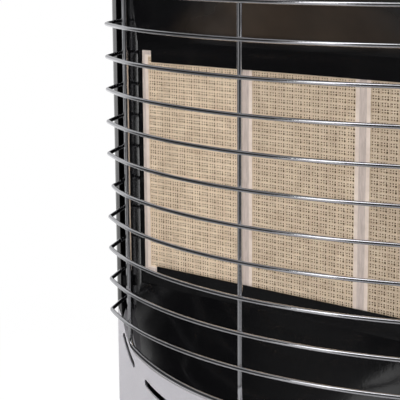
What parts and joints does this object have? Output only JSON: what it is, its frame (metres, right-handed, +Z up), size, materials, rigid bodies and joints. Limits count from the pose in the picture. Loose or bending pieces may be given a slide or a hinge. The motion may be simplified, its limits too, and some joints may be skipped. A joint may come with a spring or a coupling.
{
  "type": "portable gas heater",
  "caption": "Free-standing radiant gas heater: bowed steel cabinet with a wire-guarded ceramic burner, cylinder bay behind, sunk controls and castors.",
  "frame": {"origin": "on the floor, in the middle of the heater's width and depth", "axes": "+Z up, -Y out of the burner's window, +X to the right seen from the front"},
  "size_m": [0.428, 0.4, 0.7733],
  "materials": {
    "silver_enamel": "semi-gloss lilac-silver enamel",
    "black_gloss_enamel": "gloss black enamel",
    "black_satin_enamel": "satin black powder coat",
    "black_moulding": "moulded black with a fine grain",
    "knob_plastic": "satin moulded",
    "igniter_plastic": "moulded",
    "chromed_wire": "bright chromed wire",
    "bright_screws": "zinc plated",
    "galvanised_steel": "galvanised sheet",
    "aluminised_steel": "aluminised pressing",
    "burner_ceramic": "matt porous ceramic",
    "fibre_gasket": "soft ceramic fibre",
    "gas_pipe_metal": "drawn tube",
    "brass": "machined",
    "cast_alloy": "die cast",
    "electrode_ceramic": "glazed insulator",
    "castor_plastic": "moulded nylon",
    "wheel_rubber": "hard moulded tread"
  },
  "bodies": {
    "cabinet": {"base_pan": "galvanised_steel", "burner_fascia": "black_gloss_enamel", "burner_plenum_1": "aluminised_steel", "burner_plenum_2": "aluminised_steel", "burner_plenum_3": "aluminised_steel", "ceramic_plaque_1": "burner_ceramic", "ceramic_plaque_2": "burner_ceramic", "ceramic_plaque_3": "burner_ceramic", "control_bracket": "galvanised_steel", "feed_pipe": "gas_pipe_metal", "gas_manifold": "gas_pipe_metal", "gas_valve": "cast_alloy", "guard_clips": "black_gloss_enamel", "guard_frame": "chromed_wire", "guard_wires": "chromed_wire", "heat_shield": "galvanised_steel", "hose_nozzle": "brass", "igniter_body": "igniter_plastic", "injector_jets": "brass", "lower_front_panel": "silver_enamel", "lower_reflector": "black_gloss_enamel", "manifold_brackets": "galvanised_steel", "pilot_bracket": "galvanised_steel", "pilot_burner": "gas_pipe_metal", "plaque_gasket_1": "fibre_gasket", "plaque_gasket_2": "fibre_gasket", "plaque_gasket_3": "fibre_gasket", "rear_rail": "black_satin_enamel", "shell_screws": "bright_screws", "side_panel_left": "black_satin_enamel", "side_panel_right": "black_satin_enamel", "side_reflector_left": "black_gloss_enamel", "side_reflector_right": "black_gloss_enamel", "spark_electrode": "electrode_ceramic", "supply_pipe": "gas_pipe_metal", "thermocouple": "gas_pipe_metal", "top_cover": "black_moulding", "upper_front_surround": "black_gloss_enamel", "upper_reflector": "black_gloss_enamel", "venturi_tube_1": "aluminised_steel", "venturi_tube_2": "aluminised_steel", "venturi_tube_3": "aluminised_steel"},
    "rear_cover": {"rear_cover": "black_satin_enamel"},
    "control_knob": {"control_knob": "knob_plastic", "valve_spindle": "gas_pipe_metal"},
    "igniter_button": {"igniter_button": "knob_plastic"},
    "castor_front_left": {"castor_fork_front_left": "castor_plastic", "castor_axle_front_left": "bright_screws"},
    "wheel_front_left": {"castor_wheel_front_left": "wheel_rubber"},
    "castor_front_right": {"castor_fork_front_right": "castor_plastic", "castor_axle_front_right": "bright_screws"},
    "wheel_front_right": {"castor_wheel_front_right": "wheel_rubber"},
    "castor_rear_left": {"castor_fork_rear_left": "castor_plastic", "castor_axle_rear_left": "bright_screws"},
    "wheel_rear_left": {"castor_wheel_rear_left": "wheel_rubber"},
    "castor_rear_right": {"castor_fork_rear_right": "castor_plastic", "castor_axle_rear_right": "bright_screws"},
    "wheel_rear_right": {"castor_wheel_rear_right": "wheel_rubber"}
  },
  "joints": [
    {"name": "rear_cover_lift", "type": "slide", "parent": "cabinet", "child": "rear_cover", "axis": [0, 0, 1], "range_m": [0, 0.014]},
    {"name": "knob_turn", "type": "hinge", "parent": "cabinet", "child": "control_knob", "pos_m": [0.14, 0.0895, 0.76], "axis": [0, 0, 1], "range_deg": [0, 270]},
    {"name": "button_press", "type": "slide", "parent": "cabinet", "child": "igniter_button", "axis": [0, 0, -1], "range_m": [0, 0.005], "stiffness_N_per_m": 800, "springref_m": -0.002},
    {"name": "swivel_front_left", "type": "hinge", "parent": "cabinet", "child": "castor_front_left", "pos_m": [-0.164, -0.0845, 0.06], "axis": [0, 0, 1], "continuous": true},
    {"name": "roll_front_left", "type": "hinge", "parent": "castor_front_left", "child": "wheel_front_left", "pos_m": [-0.164, -0.0715, 0.02], "axis": [1, 0, 0], "continuous": true},
    {"name": "swivel_front_right", "type": "hinge", "parent": "cabinet", "child": "castor_front_right", "pos_m": [0.164, -0.0845, 0.06], "axis": [0, 0, 1], "continuous": true},
    {"name": "roll_front_right", "type": "hinge", "parent": "castor_front_right", "child": "wheel_front_right", "pos_m": [0.164, -0.0715, 0.02], "axis": [1, 0, 0], "continuous": true},
    {"name": "swivel_rear_left", "type": "hinge", "parent": "cabinet", "child": "castor_rear_left", "pos_m": [-0.164, 0.1535, 0.06], "axis": [0, 0, 1], "continuous": true},
    {"name": "roll_rear_left", "type": "hinge", "parent": "castor_rear_left", "child": "wheel_rear_left", "pos_m": [-0.164, 0.1665, 0.02], "axis": [1, 0, 0], "continuous": true},
    {"name": "swivel_rear_right", "type": "hinge", "parent": "cabinet", "child": "castor_rear_right", "pos_m": [0.164, 0.1535, 0.06], "axis": [0, 0, 1], "continuous": true},
    {"name": "roll_rear_right", "type": "hinge", "parent": "castor_rear_right", "child": "wheel_rear_right", "pos_m": [0.164, 0.1665, 0.02], "axis": [1, 0, 0], "continuous": true}
  ]
}
